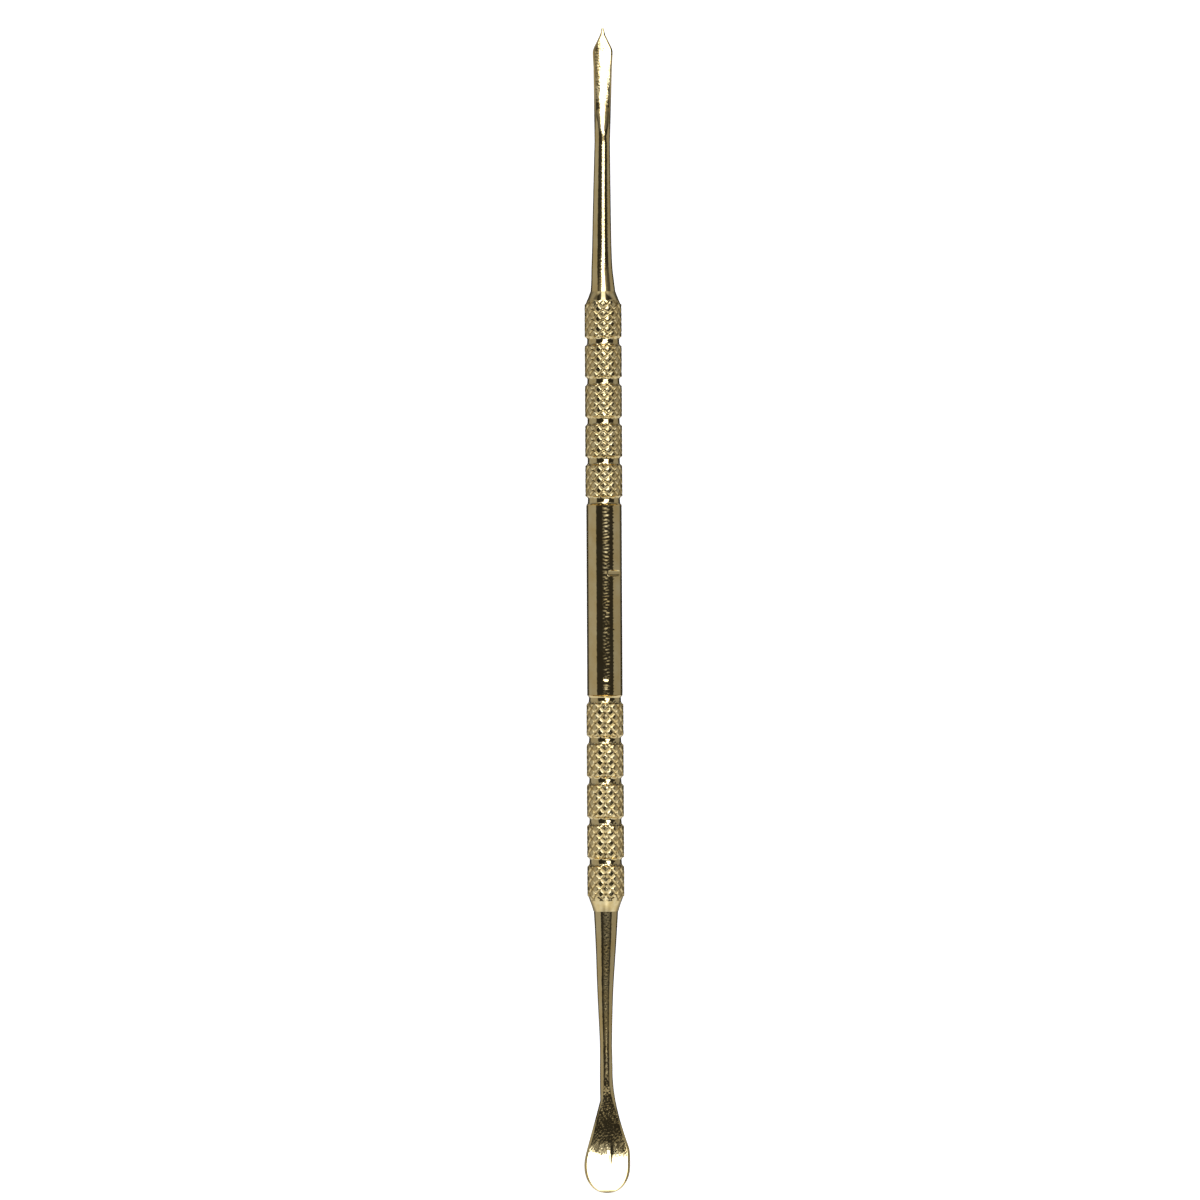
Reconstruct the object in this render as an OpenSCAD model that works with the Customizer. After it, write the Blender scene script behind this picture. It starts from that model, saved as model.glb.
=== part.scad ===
// Double-ended cuticle pusher, lying on its side with both working faces up.
//
// Frame: +Y runs along the tool towards the spear, +X across it, +Z up.
// The origin is on the surface that the tool lies on, below its middle.
// Every piece is drawn by stations: the distance along the tool from the
// spear's point. laid() turns stations into the frame, with local +Y up.

/* [Handle] */
// Diameter over the crests of the knurl
knurl_diameter = 4.0; // [3.8:0.05:5]
// Diameter of the smooth barrel between the grips
barrel_diameter = 3.8; // [3.5:0.05:4.8]
// Length of the smooth barrel between its shoulders
barrel_length = 20.43; // [12:0.01:30]
// Chamfer on both ends of the barrel
barrel_chamfer = 0.12; // [0.05:0.01:0.3]
// Diameter at the bottom of the grooves between knurled bands
groove_diameter = 3.45; // [3:0.05:3.6]
// Knurled bands on each grip
band_count = 5; // [3:1:6]
// Flat width at the bottom of a groove
groove_flat = 0.45; // [0.2:0.05:1]
// Length of the bevel at the end of a knurled band
band_bevel = 0.28; // [0.1:0.02:0.5]
// Distance from the barrel's shoulder to the middle of the first groove
first_groove = 0.45; // [0.3:0.01:1]
// Distance from one groove to the next on the spear's grip
spear_pitch = 4.27; // [3:0.01:5]
// Distance from one groove to the next on the spoon's grip
spoon_pitch = 4.35; // [3:0.01:5]
// Distance from the last groove to the cone on the spear's grip
spear_last_band = 4.01; // [3:0.01:5]
// Distance from the last groove to the cone on the spoon's grip
spoon_last_band = 3.69; // [3:0.01:5]
// Length of the cone that ends the spear's grip
spear_nose_length = 1.33; // [0.8:0.01:3]
// Length of the cone that ends the spoon's grip
spoon_nose_length = 1.63; // [0.8:0.01:3]
// Diameter of the cone's mouth at the spear
spear_mouth_diameter = 2.72; // [2.6:0.02:3.2]
// Diameter of the cone's mouth at the spoon
spoon_mouth_diameter = 2.66; // [2.6:0.02:3.2]

/* [Joints inside the handle] */
// Diameter of the tangs and spigots that are pressed into the grips
tang_diameter = 2.2; // [1.8:0.05:2.3]
// How far each tang and spigot goes in
tang_length = 9; // [5:0.5:10]
// Gap left round a tang in its bore, on the diameter
tang_clearance = 0.02; // [0.01:0.01:0.05]
// Diameter of the stake mark near the barrel's spoon end
stake_diameter = 0.62; // [0.3:0.02:1]
// Depth of the stake mark
stake_depth = 0.1; // [0.05:0.01:0.2]

/* [Spear] */
// Length of the spear and its shank outside the grip
spear_length = 28.34; // [20:0.01:35]
// Width of the blade at its shoulders
spear_width = 2.15; // [1.8:0.05:3]
// Distance from the point to the shoulders
spear_shoulder = 2.54; // [1.5:0.02:4]
// Thickness of the blade at its shoulders
spear_thickness = 0.56; // [0.4:0.02:1]
// Diameter of the shank's waist
spear_waist_diameter = 1.66; // [1.4:0.02:2]
// Distance from the point to the waist
spear_waist = 12.2; // [8:0.1:16]
// Distance from the point to where the ground faces run out
spear_ground = 11.3; // [7:0.1:15]

/* [Spoon] */
// Length of the spoon and its shank outside the grip
spoon_length = 30.19; // [24:0.01:36]
// Width of the bowl
spoon_width = 4.96; // [4:0.02:7]
// Distance from the rim to the widest place of the bowl
spoon_round = 3.15; // [2.5:0.05:4.5]
// Distance from the rim to the start of the bowl's flare
spoon_flare = 10.3; // [8:0.1:13]
// Diameter of the shank's waist
spoon_waist_diameter = 1.31; // [1.1:0.02:1.6]
// Distance from the rim to the waist
spoon_waist = 15.8; // [14:0.1:20]
// Thickness of the bowl at its rim
rim_thickness = 0.36; // [0.25:0.01:0.8]
// How far the bowl's floor dips below the shank's axis
bowl_dip = 0.42; // [0:0.02:0.8]
// How far the rim's middle rises above the shank's axis
rim_rise = 0.5; // [0:0.02:0.8]
// Depth of the hollow across the bowl's face
bowl_hollow = 0.12; // [0.05:0.01:0.2]

/* [Hidden] */

TURNED_FN = 96;       // facets of a turned surface on screen
EDGE_BREAK = 0.15;    // chamfer on the ends of tangs and spigots
ROOT_STEP = 0.03;     // how far a shank's root stands inside its cone's mouth
POINT_RADIUS = 0.04;  // half-width left on the spear's point
POINT_HALF = 0.1;     // half the blade's thickness at its point
WIDE = 12;            // wider than anything it cuts
PAST = 1;             // how far a cut runs past the end of a piece
SEAT_SHARE = 0.45;    // largest share of a grip's length that one tang may fill
STAKE_INSET = 1.65;   // distance of the stake mark from the barrel's spoon end

axis_height = knurl_diameter / 2;
bore_diameter = tang_diameter + tang_clearance;

// Stations of the joints between the pieces
function knurled_length(pitch, last_band) = first_groove + (band_count - 1) * pitch + last_band;
spear_knurled = knurled_length(spear_pitch, spear_last_band);
spoon_knurled = knurled_length(spoon_pitch, spoon_last_band);
barrel_start = spear_length + spear_nose_length + spear_knurled;
barrel_end = barrel_start + barrel_length;
spoon_start = barrel_end + spoon_knurled + spoon_nose_length;
overall_length = spoon_start + spoon_length;
stake_station = barrel_end - STAKE_INSET;

// Each tang and spigot fills less than half of its grip
seat_length = min(tang_length, SEAT_SHARE * min(spear_knurled, spoon_knurled));

// Smooth step from 0 at a to 1 at b, flat at both ends
function ease(a, b, s) = let (t = min(1, max(0, (s - a) / (b - a)))) t * t * (3 - 2 * t);
function mix(from, to, share) = from + (to - from) * share;
// Stations from a to b in equal steps, both ends included
function steps(a, b, count) = [for (i = [0 : count]) mix(a, b, i / count)];

// Puts a piece drawn by stations into the frame
module laid() translate([0, overall_length / 2, axis_height]) rotate([90, 0, 0]) children();

// A turned solid from an outline of [radius, station] points
module turned(outline) rotate_extrude($fn = TURNED_FN) polygon(outline);

// A slab across the tool from an outline of [height, station] points
module side_slab(outline)
    rotate([90, 0, 90]) linear_extrude(height = WIDE, center = true) polygon(outline);

// A tang or spigot from station a to station b, chamfered at b
module tang(a, b) {
    r = tang_diameter / 2;
    chamfer = b > a ? EDGE_BREAK : -EDGE_BREAK;
    turned([[0, a], [r, a], [r, b - chamfer], [r - EDGE_BREAK, b], [0, b]]);
}

// ---- Spear: a tapered shank, ground to a flat two-edged blade ----

SPEAR_BLADE_TAPER = 0.0205;  // growth of the radius per mm from the waist to the shoulders
SPEAR_SHANK_TAPER = 0.0185;  // growth of the radius per mm from the waist to the root
SPEAR_FLARE = 6;             // length of the flare at the shank's root
SPEAR_FLARE_POWER = 2.6;     // how late the flare comes
SHOULDER_BULGE = 2;          // length over which the shoulders stand out of the taper
NIB_STATION = 0.75;          // end of the fine point
NIB_RADIUS = 0.275;          // half-width of the blade there
CORNER_WIDTH = 0.935;        // where the point's straight edge ends, as a share of the width
CORNER_STATION = 0.83;       // and of the shoulder's distance from the point

spear_root_radius = spear_mouth_diameter / 2 - ROOT_STEP;

// Radius of the spear behind its shoulders, before the faces are ground
function spear_radius(s) =
    let (waist = spear_waist_diameter / 2,
         bulge = spear_width / 2 - waist - SPEAR_BLADE_TAPER * (spear_waist - spear_shoulder),
         flare = spear_root_radius - waist - SPEAR_SHANK_TAPER * (spear_length - spear_waist),
         t = max(0, (s - spear_length + SPEAR_FLARE) / SPEAR_FLARE))
    s < spear_waist
        ? waist + SPEAR_BLADE_TAPER * (spear_waist - s)
            + bulge * (1 - ease(spear_shoulder, spear_shoulder + SHOULDER_BULGE, s))
        : waist + SPEAR_SHANK_TAPER * (s - spear_waist) + flare * pow(t, SPEAR_FLARE_POWER);

spear_outline = concat(
    [[0, 0], [POINT_RADIUS, 0], [NIB_RADIUS, NIB_STATION],
     [CORNER_WIDTH * spear_width / 2, CORNER_STATION * spear_shoulder]],
    [for (s = steps(spear_shoulder, spear_waist, 12)) [spear_radius(s), s]],
    [for (s = steps(spear_waist + 1, spear_length, 14)) [spear_radius(s), s]],
    [[0, spear_length]]
);

// The two ground faces meet the shank's surface where they run out
face_slope = (spear_radius(spear_ground) - spear_thickness / 2) / (spear_ground - spear_shoulder);
face_end = spear_thickness / 2 + face_slope * (spear_length + PAST - spear_shoulder);
spear_side = [
    [POINT_HALF, 0], [spear_thickness / 2, spear_shoulder], [face_end, spear_length + PAST],
    [-face_end, spear_length + PAST], [-spear_thickness / 2, spear_shoulder], [-POINT_HALF, 0]
];

module spear_tip() color("gold") laid() {
    intersection() {
        turned(spear_outline);
        side_slab(spear_side);
    }
    tang(spear_length, spear_length + seat_length);
}

// ---- Grips: bored bars with knurled bands, turned grooves and a cone ----

CONE_SHOULDER = 0.96;  // radius where the cone begins, as a share of the knurl's
CONE_HOLLOW = 0.05;    // how far the cone's side is hollowed
CONE_STEPS = 5;        // straight stretches along the cone's side

// Outline of a grip from the barrel's shoulder outwards
function grip_outline(pitch, last_band, nose_length, mouth_radius) =
    let (low = groove_diameter / 2,
         high = knurl_diameter / 2,
         rise = groove_flat / 2 + band_bevel,
         knurl_end = knurled_length(pitch, last_band))
    concat(
        [[0, 0], [low, 0]],
        [for (k = [0 : band_count - 1])
            let (groove = first_groove + k * pitch,
                 last = k == band_count - 1)
            each concat(
                [[low, groove + groove_flat / 2], [high, groove + rise]],
                last ? [[high, knurl_end]]
                     : [[high, groove + pitch - rise], [low, groove + pitch - groove_flat / 2]]
            )],
        [for (t = steps(0, 1, CONE_STEPS))
            [mix(CONE_SHOULDER * high, mouth_radius, t) - CONE_HOLLOW * sin(180 * t),
             knurl_end + t * nose_length]],
        [[0, knurl_end + nose_length]]
    );

module grip(pitch, last_band, nose_length, mouth_diameter) difference() {
    turned(grip_outline(pitch, last_band, nose_length, mouth_diameter / 2));
    translate([0, 0, -PAST])
        cylinder(d = bore_diameter, $fn = TURNED_FN,
                 h = knurled_length(pitch, last_band) + nose_length + 2 * PAST);
}

module spear_grip() color("goldenrod") laid()
    translate([0, 0, barrel_start]) mirror([0, 0, 1])
        grip(spear_pitch, spear_last_band, spear_nose_length, spear_mouth_diameter);

module spoon_grip() color("goldenrod") laid()
    translate([0, 0, barrel_end])
        grip(spoon_pitch, spoon_last_band, spoon_nose_length, spoon_mouth_diameter);

// ---- Barrel: a smooth bar with a spigot at each end and one stake mark ----

module centre_barrel() color("darkgoldenrod") laid() {
    r = barrel_diameter / 2;
    c = barrel_chamfer;
    stake_radius = (pow(stake_diameter / 2, 2) + pow(stake_depth, 2)) / (2 * stake_depth);
    difference() {
        turned([[0, barrel_start], [r - c, barrel_start], [r, barrel_start + c],
                [r, barrel_end - c], [r - c, barrel_end], [0, barrel_end]]);
        translate([0, r + stake_radius - stake_depth, stake_station])
            sphere(r = stake_radius, $fn = TURNED_FN);
    }
    tang(barrel_start, barrel_start - seat_length);
    tang(barrel_end, barrel_end + seat_length);
}

// ---- Spoon: a tapered shank, forged to a thin upturned bowl ----

SPOON_TAPER_POWER = 1.28;  // how evenly the shank thins towards its waist
FLARE_NECK = 0.16;         // growth of the radius from the waist to the flare
NECK_POWER = 2.8;          // how late that growth comes
FLARE_POWER = 1.57;        // how evenly the bowl widens
ROUND_POWER = 2.25;        // how square the bowl's end is: 2 is an ellipse
DIP_DISTANCE = 5.4;        // distance from the rim to the bowl's lowest place
RISE_POWER = 1.6;          // how late the rim turns up
NECK_COVER = 0.3;          // how far the side profile clears the round waist
THIN_POWER = 0.55;         // how soon the shank thins towards the bowl
SIDE_STEPS = 24;           // straight stretches along the bowl's side profile
HOLLOW_SHARE = 0.8;        // width of the hollow as a share of the bowl's

spoon_root_radius = spoon_mouth_diameter / 2 - ROOT_STEP;
waist_station = overall_length - spoon_waist;
flare_station = overall_length - spoon_flare;
widest_station = overall_length - spoon_round;
dip_station = overall_length - DIP_DISTANCE;

// Half-width of the spoon, seen from above
function spoon_half(s) =
    let (waist = spoon_waist_diameter / 2, neck = waist + FLARE_NECK, wide = spoon_width / 2)
    s < waist_station
        ? mix(waist, spoon_root_radius,
              pow((waist_station - s) / (waist_station - spoon_start), SPOON_TAPER_POWER))
    : s < flare_station
        ? mix(waist, neck, pow((s - waist_station) / (flare_station - waist_station), NECK_POWER))
    : s < widest_station
        ? neck + (wide - neck) * sin(90 * pow(
              (s - flare_station) / (widest_station - flare_station), FLARE_POWER))
    : wide * pow(max(0, 1 - pow((s - widest_station) / spoon_round, ROUND_POWER)), 1 / ROUND_POWER);

// Height of the middle of the spoon's thickness above the shank's axis
function spoon_middle(s) =
    s < dip_station
        ? -bowl_dip * ease(waist_station, dip_station, s)
        : mix(-bowl_dip, rim_rise, pow((s - dip_station) / DIP_DISTANCE, RISE_POWER));

// Thickness of the spoon, seen from the side
function spoon_thickness(s) =
    mix(spoon_waist_diameter + NECK_COVER, rim_thickness,
        pow(ease(waist_station, overall_length, s), THIN_POWER));

// Radius of the turned outline, which the side profile cuts down to spoon_half(s): it is
// reckoned where the spoon's thickness comes nearest to the shank's axis
function spoon_radius(s) =
    norm([spoon_half(s), max(0, abs(spoon_middle(s)) - spoon_thickness(s) / 2)]);

spoon_stations = concat(
    steps(spoon_start, waist_station, 12),
    steps(waist_station + 0.8, flare_station, 6),
    steps(flare_station + 0.4, widest_station, 14),
    [for (turn = steps(8, 90, 10)) widest_station + spoon_round * sin(turn)]
);
spoon_outline = concat(
    [[0, spoon_start]],
    [for (s = spoon_stations) [spoon_radius(s), s]],
    [[0, overall_length]]
);

bowl_stations = steps(waist_station, overall_length, SIDE_STEPS);
spoon_side = concat(
    [[WIDE, spoon_start - PAST]],
    [for (s = bowl_stations) [spoon_middle(s) + spoon_thickness(s) / 2, s]],
    [for (i = [SIDE_STEPS : -1 : 0])
        let (s = bowl_stations[i]) [spoon_middle(s) - spoon_thickness(s) / 2, s]],
    [[-WIDE, spoon_start - PAST]]
);

// The ball that leaves the shallow hollow in the bowl's face
module hollow_ball() {
    half = HOLLOW_SHARE * spoon_width / 2;
    radius = (pow(half, 2) + pow(bowl_hollow, 2)) / (2 * bowl_hollow);
    face = spoon_middle(widest_station) + spoon_thickness(widest_station) / 2;
    slope = atan2(spoon_middle(overall_length) - spoon_middle(dip_station), DIP_DISTANCE);
    translate([0, face, widest_station]) rotate([-slope, 0, 0])
        translate([0, radius - bowl_hollow, 0]) sphere(r = radius, $fn = 2 * TURNED_FN);
}

module spoon_tip() color("gold") laid() {
    difference() {
        intersection() {
            turned(spoon_outline);
            side_slab(spoon_side);
        }
        hollow_ball();
    }
    tang(spoon_start, spoon_start - seat_length);
}

spear_tip();
spear_grip();
centre_barrel();
spoon_grip();
spoon_tip();
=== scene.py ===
"""Double-ended cuticle pusher: the look of every piece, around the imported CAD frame.

Shapes are worked out by stations, in millimetres: a station is the distance along the tool from the
spear's point. The tool lies along Y, with the spear at +Y and both working faces up. Every piece is a
closed skin of rings round the handle's axis, and to_frame() turns stations into the frame, in metres.
"""
import math

import bpy
import numpy as np
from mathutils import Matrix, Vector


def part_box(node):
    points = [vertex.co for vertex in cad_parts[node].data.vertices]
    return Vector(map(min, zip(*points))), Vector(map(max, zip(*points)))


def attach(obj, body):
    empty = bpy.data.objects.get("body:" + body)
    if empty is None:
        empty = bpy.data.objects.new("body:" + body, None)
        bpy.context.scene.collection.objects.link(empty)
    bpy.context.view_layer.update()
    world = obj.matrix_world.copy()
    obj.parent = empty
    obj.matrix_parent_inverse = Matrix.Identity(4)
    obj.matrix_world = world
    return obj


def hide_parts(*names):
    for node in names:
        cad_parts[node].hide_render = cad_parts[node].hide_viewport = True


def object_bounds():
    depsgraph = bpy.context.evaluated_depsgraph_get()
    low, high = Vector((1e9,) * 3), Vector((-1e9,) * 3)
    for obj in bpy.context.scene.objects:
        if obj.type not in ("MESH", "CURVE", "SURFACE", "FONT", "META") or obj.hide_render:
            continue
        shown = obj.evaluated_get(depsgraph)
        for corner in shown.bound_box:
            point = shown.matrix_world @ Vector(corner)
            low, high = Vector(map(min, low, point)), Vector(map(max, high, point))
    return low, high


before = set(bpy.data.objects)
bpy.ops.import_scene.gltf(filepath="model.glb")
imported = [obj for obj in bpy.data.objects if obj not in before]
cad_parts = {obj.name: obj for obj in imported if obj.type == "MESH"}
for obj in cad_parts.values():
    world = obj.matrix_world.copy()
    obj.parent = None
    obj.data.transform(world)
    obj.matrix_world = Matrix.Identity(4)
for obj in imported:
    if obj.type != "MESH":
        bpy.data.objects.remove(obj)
cad_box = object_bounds()

MM = 0.001

# ---- Places that come from the CAD frame ----

POINT_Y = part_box("spear_tip")[1].y / MM
AXIS_Z = (cad_box[0].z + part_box("spear_grip")[1].z) / 2 / MM
KNURL_RADIUS = (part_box("spear_grip")[1].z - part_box("spear_grip")[0].z) / 2 / MM
BARREL_RADIUS = (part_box("centre_barrel")[1].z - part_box("centre_barrel")[0].z) / 2 / MM
SPOON_HALF = (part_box("spoon_tip")[1].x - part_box("spoon_tip")[0].x) / 2 / MM


def station(y):
    """The station of a place along Y, which is given in metres."""
    return POINT_Y - y / MM


RIM = station(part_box("spoon_tip")[0].y)
SPEAR_ROOT = station(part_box("spear_grip")[1].y)
BARREL_START = station(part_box("spear_grip")[0].y)
BARREL_END = station(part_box("spoon_grip")[1].y)
SPOON_ROOT = station(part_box("spoon_grip")[0].y)
SPEAR_TANG_END = station(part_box("spear_tip")[0].y)
SPOON_TANG_END = station(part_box("spoon_tip")[1].y)
SPIGOT_START = station(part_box("centre_barrel")[1].y)
SPIGOT_END = station(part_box("centre_barrel")[0].y)

# ---- Sizes of the handle, in millimetres ----

TANG_RADIUS = 1.1           # also the radius of the barrel's spigots
BORE_RADIUS = 1.11
EDGE_BREAK = 0.15
ROOT_STEP = 0.03            # how far a shank's root stands inside its cone's mouth
SPEAR_MOUTH_RADIUS = 1.36
SPOON_MOUTH_RADIUS = 1.33
SPEAR_NOSE = 1.33           # length of the spear grip's cone
SPOON_NOSE = 1.63
CONE_SHOULDER = 0.96        # radius where the cone begins, as a share of the knurl's
CONE_HOLLOW = 0.03
BAND_COUNT = 5
SPEAR_PITCH = 4.27          # from one groove to the next
SPOON_PITCH = 4.35
FIRST_GROOVE = 0.45         # from the barrel's shoulder to the middle of the first groove
GROOVE_RADIUS = 1.725
GROOVE_FLAT = 0.225         # from a groove's middle to where its side starts to rise
GROOVE_SIDE = 0.28
GROOVE_CURVE = 1.6          # how much a groove's side is hollowed at its foot
SPEAR_FLOOR = (0.055, 0.02)     # how the groove floors rise towards the spoon, and their hollow
SPOON_FLOOR = (0.08, 0.06)
RING_LENGTH = 0.22          # bevel from the barrel's end down to the spoon grip's first groove
BARREL_EDGE = (0.05, 0.04)  # length along the tool and drop of the bevel at each end

# ---- The knurl ----

KNURL_STARTS = 11           # helical grooves of each hand round the bar
KNURL_RISE = 1.08           # distance along the tool from one groove to the next of its hand
KNURL_DEPTH = 0.086
KNURL_GROOVE = 0.225        # half-width of a V groove, as a share of the pitch
KNURL_CROSSING = 0.3        # how much deeper the grooves are where they cross, as a share
KNURL_BLUNT = 0.12          # height of the blunt point between grooves, as a share of the depth
KNURL_FADE = 0.45           # the knurl fades out over this share of the height of a groove's side
WEAR_DEPTH = 0.012          # of the rubbed places
WEAR_SIZE = 0.7
SAMPLES = 18                # mesh vertices to one pitch, along and around
AROUND = KNURL_STARTS * SAMPLES
CONE_ROWS = 22
BORE_ROWS = 7
ROW_GAP = 1e-4              # keeps the cone's first row off the knurl's last one


def ease(a, b, s):
    """Smooth step from 0 at a to 1 at b, flat at both ends."""
    t = np.clip((s - a) / (b - a), 0, 1)
    return t * t * (3 - 2 * t)


def bump(centre, width, s):
    """A smooth hill of height 1, about twice width across."""
    return np.exp(-((s - centre) / width) ** 2)


def mix(a, b, share):
    """The value that is a share of the way from a to b."""
    return a + (b - a) * share


def soft_min(a, b, blend):
    """The smaller of a and b, with the corner between them rounded over about blend."""
    return (a + b - np.sqrt((a - b) ** 2 + blend ** 2)) / 2


def waves(x, y, seed, count=7):
    """A smooth, repeatable unevenness within about -1 to 1, with features of about one unit."""
    rng = np.random.default_rng(seed)
    total = 0
    for _ in range(count):
        heading, phase = rng.uniform(0, 2 * math.pi, 2)
        rate = rng.uniform(2.0, 5.0)
        total = total + np.sin(rate * (math.cos(heading) * x + math.sin(heading) * y) + phase)
    return total / math.sqrt(count)


# ---- Building skins ----


def to_frame(x, s, z):
    """Points in metres from a place across, a station and a height above the axis."""
    x, s, z = np.broadcast_arrays(x, s, z)
    return np.stack([x, POINT_Y - s, AXIS_Z + z], axis=-1) * MM


def ring_turns(columns):
    """The turn of each of a ring's points, from the top of the tool round to the right."""
    return np.arange(columns) * 2 * math.pi / columns


def round_rings(outline, turns):
    """Round rings for an outline, which is given as pairs of a station and a radius."""
    return np.stack([to_frame(r * np.sin(turns), place, r * np.cos(turns)) for place, r in outline])


def quads(rows, columns, ring_closes):
    """Corners of the quads between rows of points that each run round the axis."""
    row = np.arange(rows if ring_closes else rows - 1)
    col = np.arange(columns)
    a = (row[:, None] * columns + col[None, :]).ravel()
    b = (row[:, None] * columns + (col[None, :] + 1) % columns).ravel()
    c = (((row[:, None] + 1) % rows) * columns + (col[None, :] + 1) % columns).ravel()
    d = (((row[:, None] + 1) % rows) * columns + col[None, :]).ravel()
    return np.stack([a, b, c, d], axis=1)


def add_mesh(name, points, faces, material):
    """A mesh object in the frame's place, in the scene."""
    mesh = bpy.data.meshes.new(name)
    mesh.from_pydata(points.tolist(), [], faces)
    mesh.materials.append(material)
    thing = bpy.data.objects.new(name, mesh)
    bpy.context.scene.collection.objects.link(thing)
    return thing


def make_piece(name, points, faces, node, material, sharp_angle):
    """A mesh object that stands for a CAD node."""
    piece = add_mesh(name, points, faces, material)
    piece.data.validate()
    piece.data.shade_smooth()
    piece.data.set_sharp_from_angle(angle=math.radians(sharp_angle))
    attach(piece, "root")
    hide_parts(node)
    return piece


def solid_skin(rings):
    """Points and faces of a skin of rings, closed at both ends by a fan of triangles."""
    rows, columns, _ = rings.shape
    points = rings.reshape(-1, 3)
    ends = np.stack([rings[0].mean(axis=0), rings[-1].mean(axis=0)])
    faces = quads(rows, columns, False).tolist()
    first, last = rows * columns, rows * columns + 1
    base = (rows - 1) * columns
    for i in range(columns):
        j = (i + 1) % columns
        faces.append([first, j, i])
        faces.append([last, base + i, base + j])
    return np.concatenate([points, ends]), faces


def tube_skin(rings, split):
    """Points and faces of a bored skin, whose rings run out along the outside and back through
    the bore. split says for each quad which of its diagonals is the crease, or 0 to keep it whole."""
    rows, columns, _ = rings.shape
    corners = quads(rows, columns, True)
    split = split.ravel()
    whole = corners[split == 0]
    along = corners[split > 0]
    across = corners[split < 0]
    faces = whole.tolist()
    faces += along[:, [0, 1, 2]].tolist() + along[:, [0, 2, 3]].tolist()
    faces += across[:, [0, 1, 3]].tolist() + across[:, [1, 2, 3]].tolist()
    return rings.reshape(-1, 3), faces


# ---- Grips: knurled bands, turned grooves and a cone ----


def from_groove(place):
    """How far a place is from the middle of the nearest groove, both counted in pitches."""
    return np.abs(place - np.round(place))


def v_groove(away):
    """Depth of a V groove at a distance from its middle, as a share of its full depth."""
    return np.clip(1 - away / KNURL_GROOVE, 0, None)


def knurl_cut(turn, rise):
    """Depth of the crossed V grooves, and which hand is the deeper one: turn and rise are the
    places around and along, counted in pitches. What is left between the grooves is a blunt point."""
    right = from_groove(rise + turn)
    left = from_groove(rise - turn)
    deeper = v_groove(np.minimum(right, left))
    crossing = v_groove(np.maximum(right, left))
    blunt = KNURL_BLUNT * (1 - right - left)
    return deeper + KNURL_CROSSING * crossing + blunt, left - right


def band_radius(along, pitch, floor_shape, outward):
    """Outline of the bands: the radius at a distance from the barrel's shoulder. The groove floors
    are slightly hollow and rise towards the spoon."""
    grooves = FIRST_GROOVE + pitch * np.arange(BAND_COUNT)
    away = along[:, None] - grooves[None, :]
    nearest = np.abs(away).argmin(axis=1)
    away = away[np.arange(len(along)), nearest]
    side = np.clip((np.abs(away) - GROOVE_FLAT) / GROOVE_SIDE, 0, 1) ** GROOVE_CURVE
    down = np.clip(outward * away, -GROOVE_FLAT, GROOVE_FLAT)
    rise, hollow = floor_shape
    floor = GROOVE_RADIUS + rise * down + hollow * down ** 2
    return mix(floor, KNURL_RADIUS, side)


def cone_radius(t, mouth_radius):
    """Radius of the slightly hollow cone, where t runs from 0 at the knurl to 1 at the mouth."""
    return mix(CONE_SHOULDER * KNURL_RADIUS, mouth_radius, t) - CONE_HOLLOW * np.sin(math.pi * t)


def grip_outline(length, outward, pitch, floor_shape, nose, mouth_radius):
    """Distances from the barrel's shoulder and the radius at each, before the knurl is cut."""
    knurl_end = length - nose
    step = KNURL_RISE / SAMPLES
    along = np.linspace(0, knurl_end, round(knurl_end / step) + 1)
    bands = band_radius(along, pitch, floor_shape, outward)
    if outward > 0:
        ring = mix(BARREL_RADIUS - BARREL_EDGE[1], GROOVE_RADIUS, along / RING_LENGTH)
        bands = np.maximum(bands, ring)
    cone = np.linspace(0, 1, CONE_ROWS)
    distances = np.concatenate([along, knurl_end + ROW_GAP + cone * (nose - ROW_GAP)])
    return distances, np.concatenate([bands, cone_radius(cone, mouth_radius)])


def crease_split(hand, rows):
    """The split that tube_skin() takes: quads outside are creased along the deeper groove, whose
    hand is given at each point, and those in the bore stay whole."""
    hand = hand[:-1] + hand[1:]
    hand = hand + np.roll(hand, -1, axis=1)
    split = np.zeros((rows, AROUND))
    split[:len(hand)] = np.where(hand > 0, -1, 1)
    return split


def make_grip(name, node, shoulder, root, outward, pitch, floor_shape, nose, mouth_radius,
              material):
    """A grip from the barrel's shoulder to its cone's mouth. outward is -1 towards the spear."""
    length = abs(root - shoulder)
    distances, outline = grip_outline(length, outward, pitch, floor_shape, nose, mouth_radius)
    crest = outline[:, None]
    s = (shoulder + outward * distances)[:, None]
    turns = ring_turns(AROUND)
    cut, hand = knurl_cut(np.arange(AROUND) / SAMPLES, s / KNURL_RISE)
    wear = WEAR_DEPTH * waves(s / WEAR_SIZE, KNURL_RADIUS * turns / WEAR_SIZE, seed=11)
    knurled = np.clip((crest - GROOVE_RADIUS) / (KNURL_FADE * (KNURL_RADIUS - GROOVE_RADIUS)), 0, 1)
    knurled = knurled * (distances[:, None] > FIRST_GROOVE)
    radius = crest - knurled * (KNURL_DEPTH * cut + np.clip(wear, 0, None))
    outside = to_frame(radius * np.sin(turns), s, radius * np.cos(turns))
    bore = [(shoulder + outward * away, BORE_RADIUS) for away in np.linspace(length, 0, BORE_ROWS)]
    rings = np.concatenate([outside, round_rings(bore, turns)])
    points, faces = tube_skin(rings, crease_split(outward * hand, len(rings)))
    if outward < 0:
        faces = [face[::-1] for face in faces]
    piece = make_piece(name, points, faces, node, material, sharp_angle=24)

    # The material reads 0 on turned surfaces, 1 on the knurl's crests and more down in its cuts, and
    # paints shade deep in the cuts from it
    pit = np.zeros(len(points), dtype=np.float32)
    pit[:radius.size] = (knurled * (1 + cut)).ravel()
    piece.data.attributes.new("pit", "FLOAT", "POINT").data.foreach_set("value", pit)


# ---- Barrel: the smooth middle with its spigots and the stake mark ----

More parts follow.
